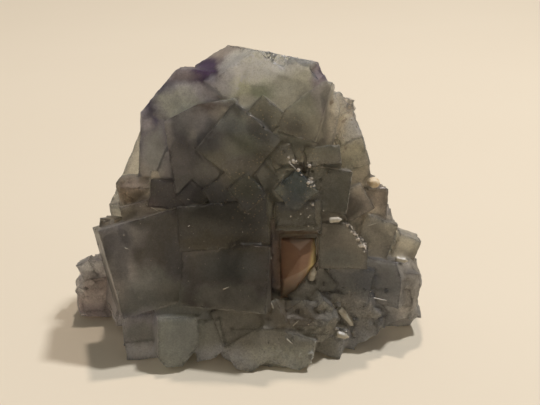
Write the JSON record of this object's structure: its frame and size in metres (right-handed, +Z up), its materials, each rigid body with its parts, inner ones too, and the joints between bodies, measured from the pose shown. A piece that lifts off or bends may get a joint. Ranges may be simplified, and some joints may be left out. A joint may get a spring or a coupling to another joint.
{
  "type": "fluorite cluster",
  "caption": "Cluster of intergrown cubic fluorite crystals, pale and purple at the crown and smoky below, with small quartz prisms and an iron-stained crystal.",
  "frame": {"origin": "under the middle of the bounding box, on the plane it rests on", "axes": "+Z up, -Y is the show face, +X to the right of the show face"},
  "size_m": [0.0728, 0.0414, 0.0579],
  "materials": {
    "fluorite": "natural crystal, cloudy and half see-through, pale green and purple at the top and grey-green to brown below",
    "iron_stained_fluorite": "natural crystal stained orange-brown by iron",
    "cream_quartz": "grainy cream quartz",
    "quartz": "milky quartz with smooth prism faces"
  },
  "bodies": {
    "root": {"fluorite_cluster": "fluorite", "iron_stained_crystal": "iron_stained_fluorite", "quartz_grain": "cream_quartz", "quartz_prism_upright": "quartz", "quartz_prism_long": "quartz", "quartz_prism_stub": "quartz", "quartz_prism_low": "quartz", "quartz_prism_ledge": "quartz", "quartz_prism_right": "quartz"}
  },
  "joints": []
}
